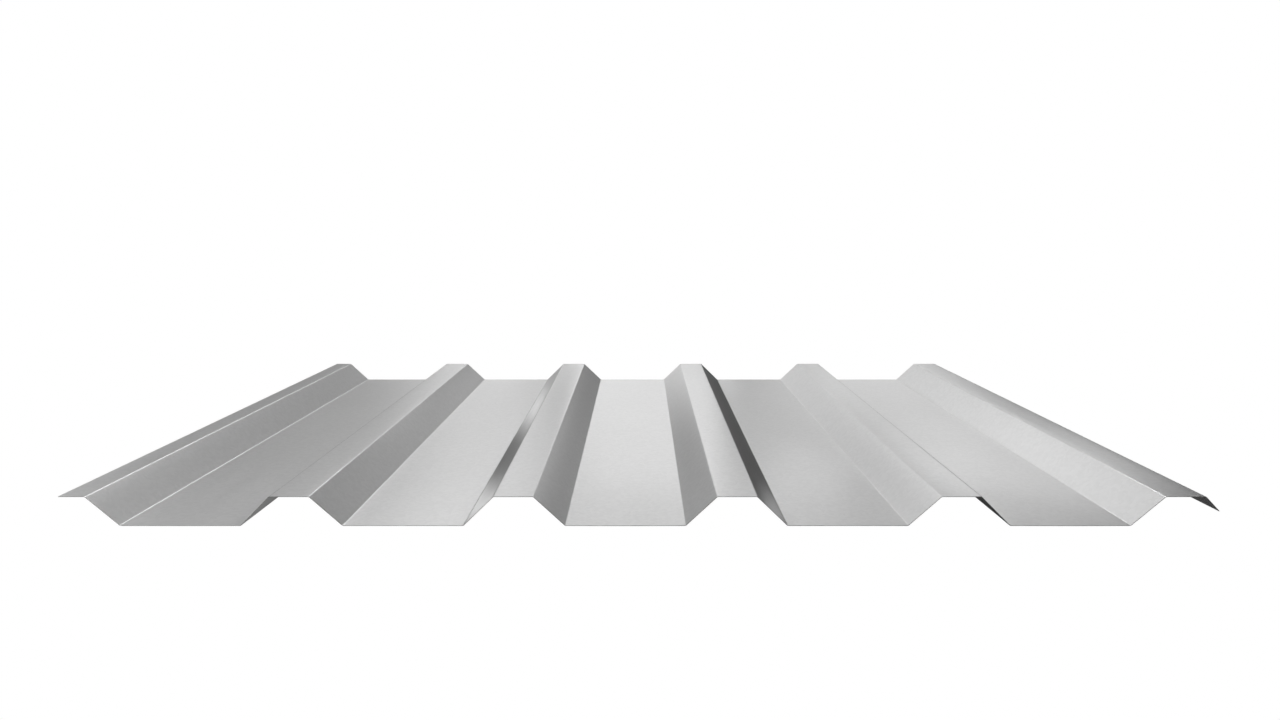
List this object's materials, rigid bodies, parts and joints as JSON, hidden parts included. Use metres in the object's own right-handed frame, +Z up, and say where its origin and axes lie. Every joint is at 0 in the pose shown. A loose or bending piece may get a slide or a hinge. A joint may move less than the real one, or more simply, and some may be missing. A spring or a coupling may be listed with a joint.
{
  "type": "trapezoidal profiled metal sheet",
  "caption": "Thin steel cladding sheet, cold rolled into flat pans and low trapezoidal ribs, with an underlap flange on one side and a half web on the other.",
  "frame": {"origin": "bottom centre of the sheet: the middle of its width and length, in the plane of the pans' undersides", "axes": "+X across the ribs from the underlap flange to the overlap web, +Y along the ribs, +Z up out of the pans"},
  "size_m": [1.0376, 0.6, 0.028],
  "materials": {
    "coated_steel": "bright zinc-aluminium coating, skin passed, with faint rolling lines along the ribs"
  },
  "bodies": {
    "root": {"profiled_sheet": "coated_steel"}
  },
  "joints": []
}
